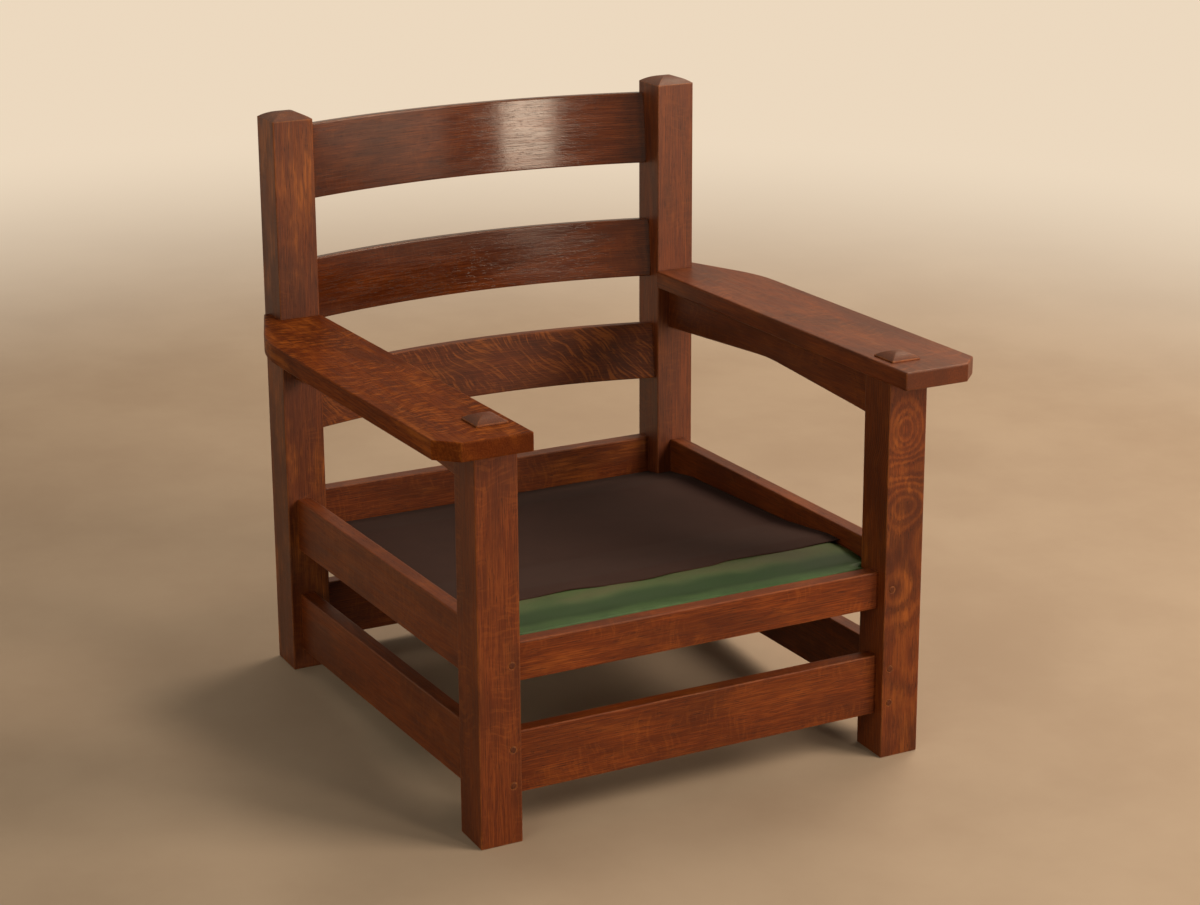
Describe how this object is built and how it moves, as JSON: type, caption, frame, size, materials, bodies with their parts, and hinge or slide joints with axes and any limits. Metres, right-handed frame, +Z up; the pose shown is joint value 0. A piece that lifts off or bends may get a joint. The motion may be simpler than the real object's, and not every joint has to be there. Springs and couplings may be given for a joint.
{
  "type": "mission lounge chair",
  "caption": "Mission-style oak lounge chair frame: flat tapered arms on square posts with through tenons, bowed back slats, sprung seat deck with a leather front band.",
  "frame": {"origin": "middle of the chair's footprint, on the floor", "axes": "+X to the right as seen from the front, +Y from the front to the back, +Z up"},
  "size_m": [0.805, 0.7858, 0.8245],
  "materials": {
    "stained_oak": "satin",
    "plain_hardwood": "matte",
    "steel": "satin",
    "burlap": "matte",
    "felt": "matte",
    "deck_cloth": "matte",
    "green_leather": "satin"
  },
  "bodies": {
    "root": {"front_post_left": "stained_oak", "front_post_right": "stained_oak", "back_post_left": "stained_oak", "back_post_right": "stained_oak", "arm_left": "stained_oak", "arm_right": "stained_oak", "arm_apron_left": "stained_oak", "arm_apron_right": "stained_oak", "back_slat_top": "stained_oak", "back_slat_middle": "stained_oak", "back_slat_lower": "stained_oak", "front_seat_rail": "stained_oak", "back_seat_rail": "stained_oak", "side_seat_rail_left": "stained_oak", "side_seat_rail_right": "stained_oak", "lower_front_rail": "stained_oak", "lower_back_rail": "stained_oak", "lower_side_rail_left": "stained_oak", "lower_side_rail_right": "stained_oak", "front_joint_pegs": "stained_oak", "spring_rail_front": "plain_hardwood", "spring_rail_back": "plain_hardwood", "spring_rail_left": "plain_hardwood", "spring_rail_right": "plain_hardwood", "spring_rail_screws": "steel", "spring_clip_screws": "steel", "seat_springs": "steel", "spring_clips": "steel", "spring_tie_wires": "steel", "seat_insulator": "burlap", "seat_felt_pad": "felt", "front_edge_roll": "felt", "front_edge_pad": "felt", "deck_cloth": "deck_cloth", "leather_band": "green_leather"}
  },
  "joints": []
}
